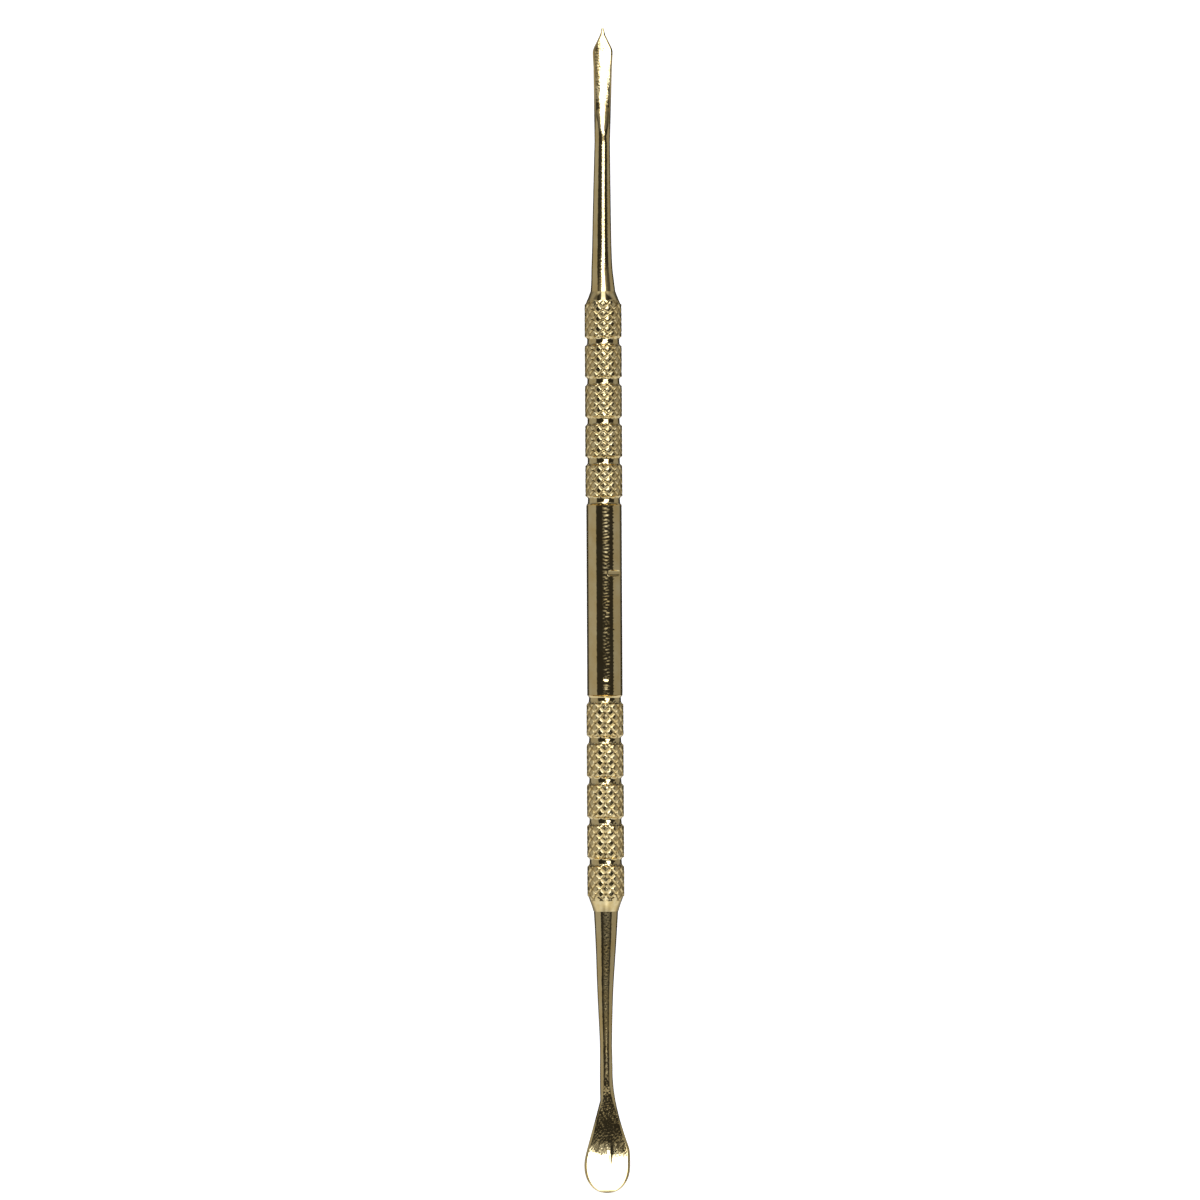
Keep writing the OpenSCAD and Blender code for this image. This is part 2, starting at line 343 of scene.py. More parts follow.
BARREL_COLUMNS = 200
STAKE_STATION = BARREL_END - 1.77
STAKE_SIDE = 0.12           # how far the mark is off the middle, across
STAKE_RADIUS = 0.27
STAKE_DEPTH = 0.045
STAKE_ROWS = 0.45           # the mesh's rows are closest this far on both sides of the mark
STAKE_MARGIN = 0.5          # and wider apart from here
KNOCK_STATION = BARREL_END - 13.1
KNOCK_TURN = math.radians(37)
KNOCK_DEPTH = 0.19
KNOCK_HALF = 0.33           # half the knock's length along the tool
KNOCK_CURVE = 6             # how squarely it ends
RIPPLE_HEIGHT = 0.0025      # of the ripples beside the stake mark
RIPPLE_LENGTH = 0.42        # from one ripple to the next
RIPPLE_CREST = BARREL_END - 1.2
RIPPLES_MIDDLE = (0.05, BARREL_END - 0.85)      # across and along
RIPPLES_SPREAD = (0.45, 0.4)
HAMMER_HEIGHT = 0.0014      # of the barrel's unevenness all over
HAMMER_GRAIN = (0.24, 0.21)     # size of its features, across and along


def barrel_radius(s, turns):
    """Radius of the barrel's body, with its marks and its unevenness."""
    x = BARREL_RADIUS * np.where(turns > math.pi, turns - 2 * math.pi, turns)
    away = np.hypot(x - STAKE_SIDE, s - STAKE_STATION) / STAKE_RADIUS
    stake = STAKE_DEPTH * np.clip(1 - away ** 2, 0, None)
    ripples = RIPPLE_HEIGHT * np.cos(2 * math.pi * (s - RIPPLE_CREST) / RIPPLE_LENGTH)
    ripples = ripples * bump(RIPPLES_MIDDLE[1], RIPPLES_SPREAD[1], s)
    ripples = ripples * bump(RIPPLES_MIDDLE[0], RIPPLES_SPREAD[0], x)
    hammer = HAMMER_HEIGHT * waves(x / HAMMER_GRAIN[0], s / HAMMER_GRAIN[1], seed=5, count=16)
    # The knock is a flat across one side; the clip only keeps it out of the way round the back
    knock = BARREL_RADIUS - KNOCK_DEPTH * (1 - ((s - KNOCK_STATION) / KNOCK_HALF) ** KNOCK_CURVE)
    knock = knock / np.clip(np.cos(turns - KNOCK_TURN), 0.3, 1)
    return np.minimum(BARREL_RADIUS - stake - ripples + hammer, knock)


def make_barrel(material):
    """The barrel from one spigot's end to the other's."""
    turns = ring_turns(BARREL_COLUMNS)
    bevel, drop = BARREL_EDGE
    s = np.concatenate([
        np.linspace(BARREL_START + bevel, STAKE_STATION - STAKE_MARGIN, 330),
        np.linspace(STAKE_STATION - STAKE_ROWS, STAKE_STATION + STAKE_ROWS, 40),
        np.linspace(STAKE_STATION + STAKE_MARGIN, BARREL_END - bevel, 24),
    ])[:, None]
    radius = barrel_radius(s, turns)
    start = [
        (SPIGOT_START, TANG_RADIUS - EDGE_BREAK),
        (SPIGOT_START + EDGE_BREAK, TANG_RADIUS),
        (BARREL_START, TANG_RADIUS),
        (BARREL_START, BARREL_RADIUS - drop),
    ]
    end = [
        (BARREL_END, BARREL_RADIUS - drop),
        (BARREL_END, TANG_RADIUS),
        (SPIGOT_END - EDGE_BREAK, TANG_RADIUS),
        (SPIGOT_END, TANG_RADIUS - EDGE_BREAK),
    ]
    body = to_frame(radius * np.sin(turns), s, radius * np.cos(turns))
    points, faces = solid_skin(np.concatenate([round_rings(start, turns), body, round_rings(end, turns)]))
    make_piece("barrel_skin", points, faces, "centre_barrel", material, sharp_angle=28)


# ---- The tips' edges, which both slope down to their outlines ----

EDGE_SLOPE = (1.1, 0.9)     # powers that give a nearly straight slope down to the outline
ROUND_EDGE = (2, 0.5)       # and a round one


def sloped(into, powers=EDGE_SLOPE):
    """Height of an edge, where into runs from 0 at its inner side to 1 at the outline."""
    inner, outer = powers
    return (1 - into ** inner) ** outer


def into_edge(x, half, edge):
    """How far a place is into the edge, from 0 at its inner side to 1 at the outline."""
    return np.clip((np.abs(x) - half + edge) / edge, 0, 1)


# ---- Spear: a round shank with two ground faces that meet at the point ----

SPEAR_COLUMNS = 160
SPEAR_WAIST = 12.2
SPEAR_WAIST_RADIUS = 0.83
SPEAR_SHOULDER = 2.54
SPEAR_HALF = 1.075
BLADE_TAPER = 0.0205        # growth of the half-width for each millimetre from the waist
SPEAR_SHANK_TAPER = 0.0185
SPEAR_FLARE = 6             # length over which the shank flares into the cone
SPEAR_FLARE_CURVE = 2.6
SPEAR_SWAY = 0.1            # how far the point is bent to the right of the handle's axis
SPEAR_BEND_LENGTH = 25      # length of half a wave of the bend
POINT_OUTLINE = [           # stations and half-widths, from the point to the shoulder
    (0, 0.04), (0.07, 0.13), (0.45, 0.19), (0.75, 0.28), (2.2, 0.99), (SPEAR_SHOULDER, SPEAR_HALF),
]
POINT_HALF = 0.08           # half the blade's thickness at the point
SHOULDER_THICK = 0.19       # at its widest place
NECK_THICK = 0.5            # and where it starts to thicken into the round shank
SPEAR_NECK = 8.6
SHOULDER_CROWN = 0.115      # how much lower the faces are at the blade's edges
NECK_CROWN = 0.19
POINT_CROWN_CURVE = 2.5     # how fast the crown shrinks with the width towards the point
NECK_TWIST = 0.085          # slope of the twisted faces, across
CROWN_GAIN = 0.3            # share by which the crown grows where the faces run out
TWIST_LOSS = 0.75           # and share by which the twist shrinks there
BLADE_EDGE = 0.18           # how far in from the outline the edge is rounded
EDGE_SHARE = 0.6            # but no more than this share of the half-width, at the point
SPEAR_GROUND = 11.7         # where the ground faces run out
LONG_STROKES = 0.0025       # heights of the grinding strokes on the faces
SHORT_STROKES = 0.0008
LONG_STROKE_SIZE = (0.3, 1.1)       # across and along
SHORT_STROKE_SIZE = (0.14, 0.24)


def spear_half(s):
    """Half-width of the spear, seen from above."""
    root = SPEAR_MOUTH_RADIUS - ROOT_STEP
    blade = SPEAR_WAIST_RADIUS + BLADE_TAPER * (SPEAR_WAIST - s)
    bulge = SPEAR_HALF - SPEAR_WAIST_RADIUS - BLADE_TAPER * (SPEAR_WAIST - SPEAR_SHOULDER)
    blade = blade + bulge * (1 - ease(SPEAR_SHOULDER, SPEAR_SHOULDER + 2, s))
    shank = SPEAR_WAIST_RADIUS + SPEAR_SHANK_TAPER * (s - SPEAR_WAIST)
    flare = root - SPEAR_WAIST_RADIUS - SPEAR_SHANK_TAPER * (SPEAR_ROOT - SPEAR_WAIST)
    along_flare = np.clip((s - SPEAR_ROOT + SPEAR_FLARE) / SPEAR_FLARE, 0, 1)
    shank = shank + flare * along_flare ** SPEAR_FLARE_CURVE
    places, halves = zip(*POINT_OUTLINE)
    point = np.interp(s, places, halves)
    half = np.where(s < SPEAR_WAIST, blade, shank)
    return np.where(s < SPEAR_SHOULDER, point, half)


def spear_sway(s):
    """How far the shank's middle stands off the handle's axis, across."""
    bend = SPEAR_SWAY * np.cos(math.pi * s / SPEAR_BEND_LENGTH)
    return bend * ease(SPEAR_ROOT, SPEAR_ROOT - 3, s)


def down_blade(s):
    """How far down the blade a station is: 0 up to the shoulder, 1 at the neck, and more beyond it."""
    return np.clip((s - SPEAR_SHOULDER) / (SPEAR_NECK - SPEAR_SHOULDER), 0, None)


def spear_thick(s, half):
    """Half the spear's thickness: a ground blade that swells into the round shank."""
    point = mix(POINT_HALF, SHOULDER_THICK, np.clip(s / SPEAR_SHOULDER, 0, 1))
    blade = mix(point, NECK_THICK, down_blade(s))
    return np.minimum(mix(blade, half, ease(SPEAR_NECK, SPEAR_GROUND, s)), half)


def spear_height(s, x, turns, half):
    """Height above the axis of the spear's surface, on both sides."""
    thick = spear_thick(s, half)
    running_out = ease(SPEAR_NECK - 1, SPEAR_NECK + 1.6, s)
    crown = mix(SHOULDER_CROWN, NECK_CROWN, down_blade(s)) * (x / half) ** 2
    crown = crown * (1 + CROWN_GAIN * running_out)
    crown = np.where(s < SPEAR_SHOULDER, (half / SPEAR_HALF) ** POINT_CROWN_CURVE, 1) * crown
    strokes = LONG_STROKES * waves(x / LONG_STROKE_SIZE[0], s / LONG_STROKE_SIZE[1], seed=23)
    short = waves(x / SHORT_STROKE_SIZE[0], s / SHORT_STROKE_SIZE[1], seed=29)
    strokes = strokes + SHORT_STROKES * short
    edge = np.minimum(BLADE_EDGE, EDGE_SHARE * half)
    face = (thick - crown + strokes) * sloped(into_edge(x, half, edge)) * np.sign(np.cos(turns))
    face = face - NECK_TWIST * np.minimum(down_blade(s), 1) * (1 - TWIST_LOSS * running_out) * x
    ground = ease(SPEAR_GROUND, SPEAR_NECK, s) * ease(0, 0.5, s)
    return mix(thick * np.cos(turns), face, ground)


def make_spear(material):
    """The spear from its point to the end of its tang."""
    turns = ring_turns(SPEAR_COLUMNS)
    s = np.concatenate([
        np.linspace(0, 0.75, 16),
        np.linspace(0.8, SPEAR_SHOULDER, 24),
        np.linspace(SPEAR_SHOULDER + 0.08, SPEAR_ROOT, 290),
    ])[:, None]
    half = spear_half(s)
    x = half * np.sin(turns)
    skin = to_frame(x + spear_sway(s), s, spear_height(s, x, turns, half))
    tang = [
        (SPEAR_ROOT, TANG_RADIUS),
        (SPEAR_TANG_END - EDGE_BREAK, TANG_RADIUS),
        (SPEAR_TANG_END, TANG_RADIUS - EDGE_BREAK),
    ]
    points, faces = solid_skin(np.concatenate([skin, round_rings(tang, turns)]))
    make_piece("spear_skin", points, faces, "spear_tip", material, sharp_angle=40)


# ---- Spoon: a round shank that spreads into a thin upturned bowl ----

SPOON_COLUMNS = 240
SPOON_WAIST = RIM - 15.8
SPOON_WAIST_RADIUS = 0.655
SPOON_SHANK_CURVE = 1.28
SPOON_BEND = 0.11           # how far the shank is bent to the left, halfway down
SPOON_NECK_SWAY = 0.05      # and how far the neck stands to the left
SPOON_WIDEST = RIM - 3.15
END_CURVE = 2.25            # power of the bowl's round end: 2 would be an ellipse
NECK_START = RIM - 13.0     # where the round neck starts to flatten into the bowl
SPOON_DIP = RIM - 5.25      # the bowl's lowest place
BOWL_DIP = 0.42
NECK_STEP = 0.11
RIM_RISE = 0.5
RIM_CURVE = 1.6             # how late the bowl turns up towards its rim
RIM_THICKNESS = 0.5
THINNING_CURVE = 0.8        # how early the neck gets thinner towards the bowl
NECK_BEVEL = 0.15           # how far in the flare's edges are rounded
RIM_BEVEL = 0.26            # how far in from the outline the bowl's edge slopes down
LEAST_EDGE = 1e-6           # stops a division by zero at the very end
NECK_HALF = 0.685
LEFT_KINK = RIM - 9.85      # where the straight left side of the flare starts
LEFT_SLOPE = 0.2835
RIGHT_FLARE = RIM - 12.9    # where the curved right side starts
RIGHT_SPREAD = (0.0364, 1.84)   # its spread after one millimetre, and the power it grows by
FLARE_BLEND = 0.16          # rounding where the flare meets the bowl's full width
BLEND_LOSS = 0.01           # what the rounding takes off the full width
EDGE_CROWDING = 1.6         # how much the bowl's columns crowd towards its edges
DISH_DEPTH = 0.1
CREASE_DEPTH = 0.07
CREASE_SIDE = 0.33          # how far the crease is off the bowl's middle, across
CREASE_WIDTH = 0.03         # at the rim's end
CREASE_SPREAD = 0.15        # how much wider it is at its upper end
SHANK_HAMMER = 0.0016       # height of the fine hammered surface on the shank
FLARE_HAMMER = 0.003        # and on the flare
HAMMER_SIZE = 0.2
HAMMER_GAIN = 2.6           # share by which it grows in the middle of the flare
STREAK_HEIGHT = 0.007       # of the slanting streaks on the slope into the bowl
STREAK_SIZE = (0.16, 1.1)   # width and length


def spoon_half(s, flare):
    """Half-width of one side of the spoon, whose flare is given at each station."""
    up_shank = np.clip((SPOON_WAIST - s) / (SPOON_WAIST - SPOON_ROOT), 0, 1)
    shank = mix(SPOON_WAIST_RADIUS, SPOON_MOUTH_RADIUS - ROOT_STEP, up_shank ** SPOON_SHANK_CURVE)
    neck = mix(SPOON_WAIST_RADIUS, NECK_HALF, ease(SPOON_WAIST, SPOON_WAIST + 3, s))
    bowl = soft_min(neck + flare, SPOON_HALF + BLEND_LOSS, FLARE_BLEND)
    end = np.clip((s - SPOON_WIDEST) / (RIM - SPOON_WIDEST), 0, 1)
    rounded = (1 - end ** END_CURVE) ** (1 / END_CURVE)
    return np.where(s < SPOON_WAIST, shank, bowl) * rounded


def spoon_sway(s):
    """How far the shank's middle stands off the handle's axis, across."""
    shank = SPOON_BEND * bump(SPOON_ROOT + 8.7, 4.2, s) * ease(SPOON_ROOT, SPOON_ROOT + 3, s)
    neck = SPOON_NECK_SWAY * ease(SPOON_ROOT + 8, SPOON_WAIST, s) * ease(RIM - 6, RIM - 12, s)
    return -shank - neck


def spoon_middle(s):
    """Height of the middle of the spoon's thickness: a small step down, the dip and the upturn."""
    dip = NECK_STEP * (ease(NECK_START, SPOON_DIP, s) - ease(RIM - 11.8, RIM - 10.4, s))
    dip = dip - BOWL_DIP * ease(NECK_START, SPOON_DIP, s)
    upturn = np.clip((s - SPOON_DIP) / (RIM - SPOON_DIP), 0, 1) ** RIM_CURVE
    return np.where(s < SPOON_DIP, dip, mix(-BOWL_DIP, RIM_RISE, upturn))


def spoon_marks(s, x):
    """Unevenness of the upper face: the hammered surface, the streaks and the crease in the bowl."""
    hammer = mix(SHANK_HAMMER, FLARE_HAMMER, ease(SPOON_WAIST - 1, SPOON_WAIST + 3, s))
    hammer = hammer * waves(x / HAMMER_SIZE, s / HAMMER_SIZE, seed=31, count=16)
    hammer = hammer * ease(RIM - 4.0, RIM - 6, s) * (1 + HAMMER_GAIN * bump(RIM - 9, 2.2, s))
    streaks = waves((x + s) / STREAK_SIZE[0], (x - s) / STREAK_SIZE[1], seed=37, count=9)
    streaks = STREAK_HEIGHT * streaks
    streaks = streaks * ease(RIM - 7, RIM - 5.4, s) * ease(RIM - 3.2, RIM - 4.9, s)
    crease = CREASE_DEPTH * ease(RIM - 6.1, RIM - 5.3, s) * ease(RIM - 1.4, RIM - 4.2, s)
    crease_width = CREASE_SPREAD * ease(RIM - 2.4, RIM - 5, s) + CREASE_WIDTH
    crease = crease * bump(CREASE_SIDE, crease_width, x)
    return hammer + streaks - crease


def spoon_height(s, x, turns, half, shank_half, flat):
    """Height above the axis of the spoon's surface, on both sides. flat runs from 0 on the round
    shank to 1 on the flat bowl."""
    thinning = ease(NECK_START, SPOON_DIP + 1.5, s) ** THINNING_CURVE
    thick = mix(SPOON_WAIST_RADIUS, RIM_THICKNESS / 2, thinning)
    thick = np.where(s < SPOON_WAIST, shank_half, thick)
    bevel_width = mix(NECK_BEVEL, RIM_BEVEL, ease(RIM - 8.5, RIM - 5.5, s))
    edge = np.maximum(mix(half, np.minimum(bevel_width, half), flat), LEAST_EDGE)
    powers = [mix(on_shank, on_bowl, flat) for on_shank, on_bowl in zip(ROUND_EDGE, EDGE_SLOPE)]
    near_end = np.clip(1 - (RIM - s) / RIM_BEVEL, 0, 1)
    lens = sloped(into_edge(x, half, edge), powers) * sloped(near_end)
    dish = DISH_DEPTH * ease(SPOON_DIP - 1.5, SPOON_WIDEST, s) * (x / SPOON_HALF) ** 2
    marks = (np.cos(turns) > 0) * lens * spoon_marks(s, x)
    return spoon_middle(s) + thick * np.sign(np.cos(turns)) * lens + dish + marks


def make_spoon(material):
    """The spoon from the end of its tang to its rim."""
    turns = ring_turns(SPOON_COLUMNS)
    round_the_end = np.radians(np.linspace(3, 89.8, 40))
    s = np.concatenate([
        np.linspace(SPOON_ROOT, SPOON_WIDEST, 340),
        SPOON_WIDEST + (RIM - SPOON_WIDEST) * np.sin(round_the_end),
    ])[:, None]
    spread, power = RIGHT_SPREAD
    left = spoon_half(s, LEFT_SLOPE * np.clip(s - LEFT_KINK, 0, None))
    right = spoon_half(s, spread * np.clip(s - RIGHT_FLARE, 0, None) ** power)
    across = np.sin(turns)
    half = np.where(across < 0, left, right)
    flat = ease(SPOON_WAIST + 1, SPOON_DIP - 2.6, s)
    crowded = np.sign(across) * (1 - (1 - np.abs(across)) ** EDGE_CROWDING)
    x = half * mix(across, crowded, flat)
    z = spoon_height(s, x, turns, half, (left + right) / 2, flat)
    tang = [
        (SPOON_TANG_END, TANG_RADIUS - EDGE_BREAK),
        (SPOON_TANG_END + EDGE_BREAK, TANG_RADIUS),
        (SPOON_ROOT, TANG_RADIUS),
    ]
    skin = to_frame(x + spoon_sway(s), s, z)
    points, faces = solid_skin(np.concatenate([round_rings(tang, turns), skin]))
    make_piece("spoon_skin", points, faces, "spoon_tip", material, sharp_angle=40)


# ---- Materials: gold plating with its own wear on every part ----

GOLD = (0.84, 0.64, 0.29, 1)
PALE_GOLD = (0.92, 0.76, 0.42, 1)
# The deep gold is painted shade: a darker, browner gold that darkens the knurl's cuts
PAINTED_SHADE_GOLD = (0.66, 0.45, 0.15, 1)


class Nodes:
    """A short way to build a node tree. Methods that add a node return it or its output."""

    def __init__(self, tree):
        self.tree = tree

    def add(self, kind, **settings):
        node = self.tree.nodes.new(kind)
        for key, value in settings.items():
            setattr(node, key, value)
        return node

    def link(self, source, target):
        self.tree.links.new(source, target)

    def noise(self, vector, scale, detail):
        node = self.add("ShaderNodeTexNoise")
        node.inputs["Scale"].default_value = scale
        node.inputs["Detail"].default_value = detail
        self.link(vector, node.inputs["Vector"])
        return node.outputs["Fac"]

    def stretched(self, vector, scale):
        """The coordinates scaled by a different amount along each axis."""
        node = self.add("ShaderNodeMapping")
        node.inputs["Scale"].default_value = scale
        self.link(vector, node.inputs["Vector"])
        return node.outputs["Vector"]

    def remap(self, value, low, high, to_low, to_high):
        """The value moved from one range to another, and kept within it."""
        node = self.add("ShaderNodeMapRange", clamp=True)
        ends = {"From Min": low, "From Max": high, "To Min": to_low, "To Max": to_high}
        for name, number in ends.items():
            node.inputs[name].default_value = number
        self.link(value, node.inputs["Value"])
        return node.outputs["Result"]

    def mix_colour(self, share, a, b):
        node = self.add("ShaderNodeMix", data_type="RGBA")
        self.link(share, node.inputs["Factor"])
        for socket, colour in ((node.inputs["A"], a), (node.inputs["B"], b)):
            if isinstance(colour, tuple):
                socket.default_value = colour
            else:
                self.link(colour, socket)
        return node.outputs["Result"]

    def combine(self, operation, a, b=0.0):
        node = self.add("ShaderNodeMath", operation=operation)
        for socket, value in ((node.inputs[0], a), (node.inputs[1], b)):
            if isinstance(value, (int, float)):
                socket.default_value = value
            else:
                self.link(value, socket)
        return node.outputs["Value"]

    def plus(self, a, b):
        return self.combine("ADD", a, b)

    def minus(self, a, b):
        return self.combine("SUBTRACT", a, b)

    def times(self, first, *others):
        product = first
        for value in others:
            product = self.combine("MULTIPLY", product, value)
        return product

    def bump(self, height, distance, normal=None):
        """Relief from a height of 0 to 1, which is scaled to a distance in metres."""
        node = self.add("ShaderNodeBump")
        node.inputs["Distance"].default_value = distance
        self.link(height, node.inputs["Height"])
        if normal is not None:
            self.link(normal, node.inputs["Normal"])
        return node.outputs["Normal"]


def new_material(name):
    """A new material and its shader."""
    material = bpy.data.materials.new(name)
    material.use_nodes = True
    shader = next(n for n in material.node_tree.nodes if n.type == "BSDF_PRINCIPLED")
    return material, shader


def gold_base(name):
    """A metal material with its shader and object coordinates, to be finished by the caller."""
    material, shader = new_material(name)
    shader.inputs["Metallic"].default_value = 1.0
    nodes = Nodes(material.node_tree)
    place = nodes.add("ShaderNodeTexCoord").outputs["Object"]
    return material, nodes, shader, place


def smooth_gold(name, cloud_scale, shine_scale, roughness, peel, peel_height, line_scale,
                line_height):
    """A smooth metal: pale clouds, uneven shine, a slight orange peel and fine lines. peel is the
    scale and detail of its noise, and the heights are in metres."""
    material, nodes, shader, place = gold_base(name)
    pale = nodes.remap(nodes.noise(place, cloud_scale, 3), 0.35, 0.7, 0, 1)
    nodes.link(nodes.mix_colour(pale, GOLD, PALE_GOLD), shader.inputs["Base Color"])
    shine = nodes.remap(nodes.noise(place, shine_scale, 3), 0.3, 0.7, *roughness)
    nodes.link(shine, shader.inputs["Roughness"])
    normal = nodes.bump(nodes.noise(place, *peel), peel_height)
    lines = nodes.noise(nodes.stretched(place, line_scale), 1.0, 2)
    nodes.link(nodes.bump(lines, line_height, normal=normal), shader.inputs["Normal"])
    return material


def polished_gold():
    """The tips: bright, with fine polishing lines along them and a slight orange peel."""
    return smooth_gold("gold_polished", cloud_scale=420, shine_scale=1600, roughness=(0.045, 0.11),
                       peel=(4200, 2), peel_height=8.0e-6,
                       line_scale=(9000, 1500, 9000), line_height=2.5e-6)


def worn_gold():
    """The barrel: smoother, with fine turning lines round it."""
    return smooth_gold("gold_worn", cloud_scale=500, shine_scale=2400, roughness=(0.03, 0.06),
                       peel=(5000, 1), peel_height=0.8e-6,
                       line_scale=(1500, 9000, 1500), line_height=0.4e-6)


def knurled_gold():
    """The grips: smooth turned parts, satin crests, and painted shade down in the knurl's cuts, a darker,
    browner gold.
    """
    material, nodes, shader, place = gold_base("gold_knurled")
    pit = nodes.add("ShaderNodeAttribute", attribute_name="pit").outputs["Fac"]
    # Painted shade: deep in the knurl's cuts the colour turns to the darker, browner gold, with a tenth
    # of the base gold left at the deepest
    crest = nodes.remap(pit, 1.4, 2.4, 1, 0.1)
    satin = nodes.remap(pit, 0, 1, 0.3, 1)
    worn = nodes.remap(nodes.noise(place, 1500, 2), 0.35, 0.65, 0, 1)
    base = nodes.mix_colour(worn, GOLD, PALE_GOLD)
    nodes.link(nodes.mix_colour(crest, PAINTED_SHADE_GOLD, base), shader.inputs["Base Color"])
    grain = nodes.remap(nodes.noise(place, 3000, 2), 0.3, 0.7, 0.08, 0.15)
    nodes.link(nodes.times(grain, satin), shader.inputs["Roughness"])
    height = nodes.times(nodes.noise(place, 5200, 3), nodes.remap(pit, 0, 1, 0.06, 1))
    nodes.link(nodes.bump(height, 6.0e-6), shader.inputs["Normal"])
    return material


# ---- Studio: floor, light and camera ----

FLOOR_RADIUS = 1.6          # of the flat part, in metres
COVE_RADIUS = 0.4
WALL_HEIGHT = 1.2
FLOOR_GAP = 0.00002         # between the tool and the floor


def floor_white():
    """A pale, matt floor that glows, so that it comes out plain white."""
    material, shader = new_material("floor_white")
    shader.inputs["Base Color"].default_value = (0.86, 0.86, 0.86, 1)
    shader.inputs["Roughness"].default_value = 0.9
    shader.inputs["Specular IOR Level"].default_value = 0.0
    shader.inputs["Emission Color"].default_value = (1, 1, 1, 1)
    shader.inputs["Emission Strength"].default_value = 0.85
    return material


def make_floor():
    """A wide, plain, pale floor that the tool lies on. Far out it curves up into a wall all round."""
    columns = 96
    bend = np.radians(np.linspace(0, 90, 19))
    radius = np.append(FLOOR_RADIUS + COVE_RADIUS * np.sin(bend), FLOOR_RADIUS + COVE_RADIUS)
    height = np.append(COVE_RADIUS * (1 - np.cos(bend)), COVE_RADIUS + WALL_HEIGHT)
    height = (height + cad_box[0].z - FLOOR_GAP)[:, None]
    turns = ring_turns(columns)
    x = radius[:, None] * np.cos(turns)
    y = radius[:, None] * np.sin(turns)
    points = np.stack(np.broadcast_arrays(x, y, height), axis=-1).reshape(-1, 3)
    faces = [list(range(columns))] + quads(len(radius), columns, False).tolist()
    floor = add_mesh("floor", points, faces, floor_white())
    floor.visible_glossy = False
    floor.visible_diffuse = False


# The studio's lights are painted on the world by direction, in degrees. lean is how far a direction
# leans from straight up to the right, and reach how far it points along the tool, towards the spear.
# side is how far it is to either side of the overhead lights' own middle.

DARKNESS = 0.027            # strength where there is no light
WARM_LIGHT = (1.0, 0.985, 0.95, 1)
COOL_LIGHT = (0.94, 1.0, 1.12, 1)


def softbox(nodes, reach, side):
    """The long bright light overhead on the spear's side, dimmer at its near end."""
    past_edge = nodes.minus(side, nodes.remap(reach, 9, 17, 14.5, 20))
    past_edge = nodes.times(past_edge, nodes.remap(reach, 2.5, 4, 0.25, 1))
    near_part = nodes.plus(nodes.remap(reach, -0.1, 2.4, 0, 0.26), nodes.remap(reach, 3, 6, 0, 0.74))
    far_part = nodes.plus(nodes.remap(reach, 22, 30, 3.8, 1.35), nodes.remap(reach, 46, 53, 0, 1.2))
    return nodes.times(nodes.remap(past_edge, -4, 3, 1, 0), near_part, far_part,
                       nodes.remap(reach, 76, 84, 1, 0))


def sky(nodes, reach, off_middle):
    """A wide bright band across the softbox, which dims to both sides."""
    return nodes.times(nodes.remap(reach, 20, 29, 0, 1), nodes.remap(reach, 36, 42, 1, 0),
                       nodes.remap(off_middle, 38, 62, 1.2, 0.3))


def glow(nodes, reach, side):
    """The soft grey light on both sides of the softbox."""
    return nodes.times(nodes.remap(reach, 8.6, 10.2, 0, 1), nodes.remap(side, 16, 46, 0.42, 0.08),
                       nodes.remap(reach, 16, 24, 1, 0.3))


def walls(nodes, lean, reach, off_middle):
    """The dim grey walls on both sides, darker low down and towards both ends."""
    left = nodes.remap(lean, -56, -50, 0.36, 0)
    right = nodes.remap(nodes.minus(lean, nodes.remap(reach, 0, 5, 0, 20)), 55, 61, 0, 0.3)
    return nodes.times(nodes.plus(left, right), nodes.remap(off_middle, 118, 136, 1, 0.05),
                       nodes.remap(nodes.combine("ABSOLUTE", reach), 12, 32, 1, 0.35))


def low_wall(nodes, reach, off_middle, side):
    """The pale wall low behind the spoon, brighter in two steps, which starts higher at its sides."""
    low = nodes.minus(reach, nodes.remap(off_middle, 20, 90, 0, 16))
    steps = nodes.plus(nodes.remap(low, -32, -22, 0.32, 0), nodes.remap(low, -42, -35, 0.42, 0))
    return nodes.times(steps, nodes.remap(side, 6, 24, 1.5, 1), nodes.remap(reach, -76, -66, 0.25, 1))


def haze(nodes, reach, side):
    """A faint patch overhead on the spoon's side."""
    return nodes.times(nodes.remap(side, 22, 45, 0.2, 0), nodes.remap(reach, -10.5, -8.5, 0, 1),
                       nodes.remap(reach, -6.8, -5.5, 1, 0.4), nodes.remap(reach, -3.3, -2.9, 1, 0))


def slit(nodes, reach, side):
    """A short bright slit overhead on the spoon's side."""
    return nodes.times(nodes.remap(side, 5, 13, 0.75, 0), nodes.remap(reach, -6.8, -5.2, 0, 1),
                       nodes.remap(reach, -3.3, -2.9, 1, 0))


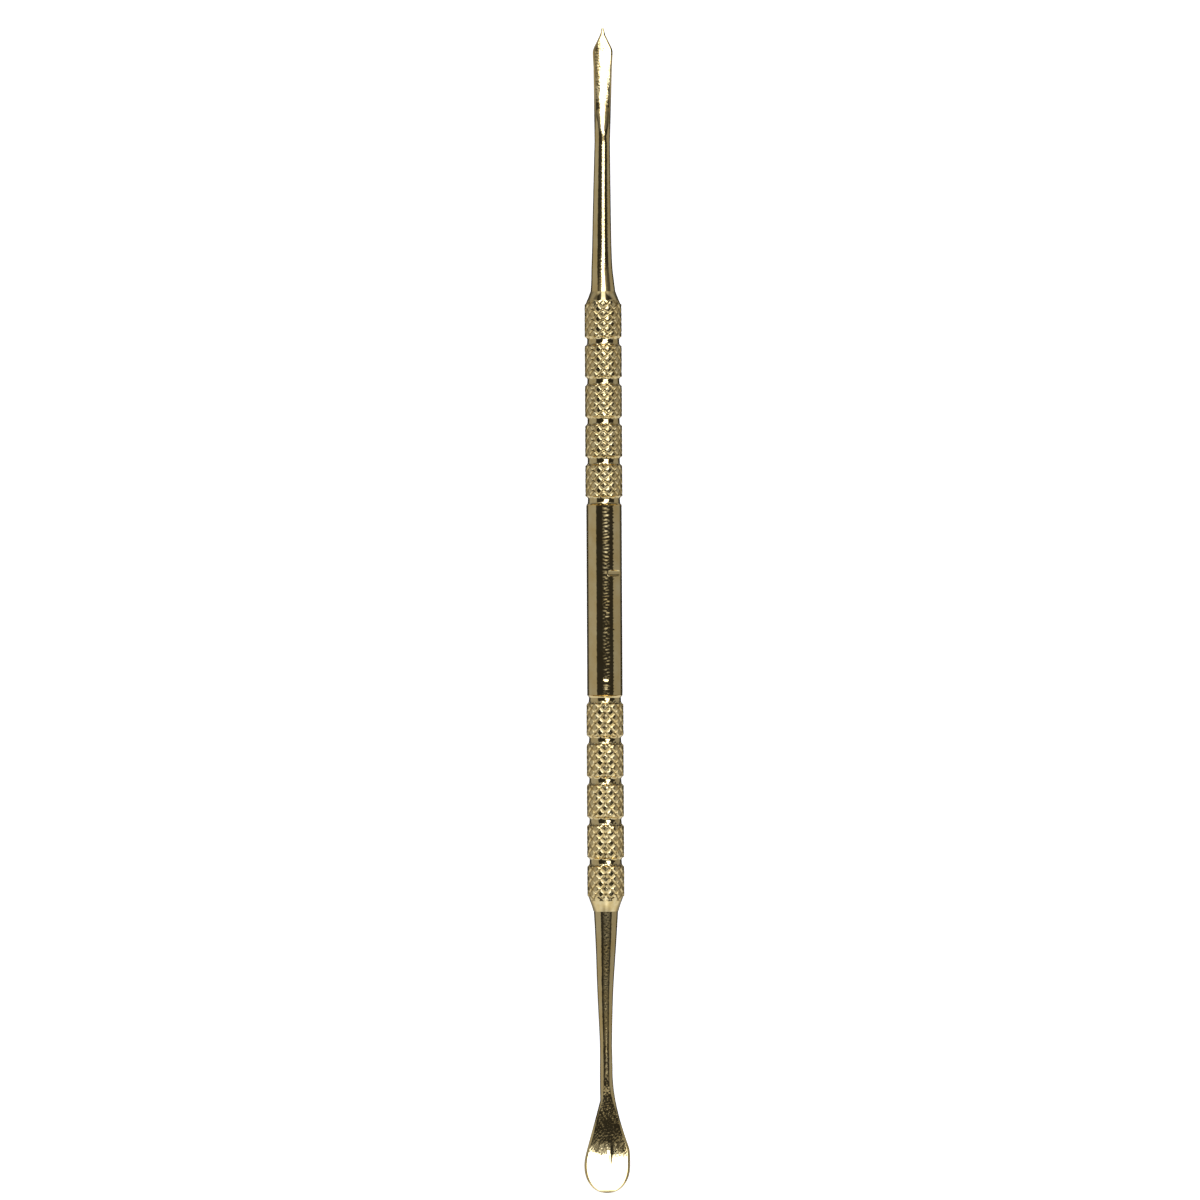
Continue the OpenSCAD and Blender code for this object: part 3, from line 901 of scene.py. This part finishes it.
def make_world():
    """Soft studio light all round: the lights above, and darkness between them."""
    world = bpy.data.worlds.new("studio")
    bpy.context.scene.world = world
    world.use_nodes = True
    nodes = Nodes(world.node_tree)
    background = next(n for n in world.node_tree.nodes if n.type == "BACKGROUND")
    parts = nodes.add("ShaderNodeSeparateXYZ")
    nodes.link(nodes.add("ShaderNodeTexCoord").outputs["Generated"], parts.inputs["Vector"])
    x, y, z = (parts.outputs[axis] for axis in "XYZ")
    lean = nodes.times(nodes.combine("ARCTAN2", x, z), 180 / math.pi)
    reach = nodes.times(nodes.combine("ARCSINE", y), 180 / math.pi)
    off_middle = nodes.combine("ABSOLUTE", lean)
    slant = nodes.minus(nodes.remap(reach, 0, 5, 0, 12), nodes.remap(reach, 6.5, 9, 0, 12))
    aside = nodes.minus(nodes.minus(lean, slant), nodes.remap(reach, 10, 16, 8, 3))
    side = nodes.combine("ABSOLUTE", aside)
    lights = [
        softbox(nodes, reach, side),
        sky(nodes, reach, off_middle),
        glow(nodes, reach, side),
        walls(nodes, lean, reach, off_middle),
        low_wall(nodes, reach, off_middle, side),
        haze(nodes, reach, side),
        slit(nodes, reach, side),
    ]
    total = DARKNESS
    for light in lights:
        total = nodes.combine("MAXIMUM", total, light)
    nodes.link(total, background.inputs["Strength"])
    cool = nodes.remap(total, 0.4, 1.2, 0, 1)
    nodes.link(nodes.mix_colour(cool, WARM_LIGHT, COOL_LIGHT), background.inputs["Color"])


# The camera looks straight down from this far above the axis, a little off the tool's middle
CAMERA_HEIGHT = 715.5
CAMERA_X = -0.478
CAMERA_STATION = 61.41
CAMERA_ROLL = -0.279        # in degrees


def make_camera():
    """The camera of the photo's angle, straight above the tool."""
    data = bpy.data.cameras.new("camera")
    data.lens = 200
    data.sensor_width = 36
    data.clip_start = 0.01
    data.clip_end = 20
    camera = bpy.data.objects.new("camera", data)
    camera.location = (CAMERA_X * MM, (POINT_Y - CAMERA_STATION) * MM, (AXIS_Z + CAMERA_HEIGHT) * MM)
    camera.rotation_euler = (0, 0, math.radians(CAMERA_ROLL))
    bpy.context.scene.collection.objects.link(camera)
    bpy.context.scene.camera = camera


def set_view():
    """Colours come out as they are, without a film look."""
    scene = bpy.context.scene
    scene.view_settings.view_transform = "Standard"
    scene.view_settings.look = "None"


polished = polished_gold()
knurled = knurled_gold()
make_spear(polished)
make_grip("spear_grip_skin", "spear_grip", BARREL_START, SPEAR_ROOT, -1,
          SPEAR_PITCH, SPEAR_FLOOR, SPEAR_NOSE, SPEAR_MOUTH_RADIUS, knurled)
make_barrel(worn_gold())
make_grip("spoon_grip_skin", "spoon_grip", BARREL_END, SPOON_ROOT, 1,
          SPOON_PITCH, SPOON_FLOOR, SPOON_NOSE, SPOON_MOUTH_RADIUS, knurled)
make_spoon(polished)
make_floor()
make_world()
make_camera()
set_view()
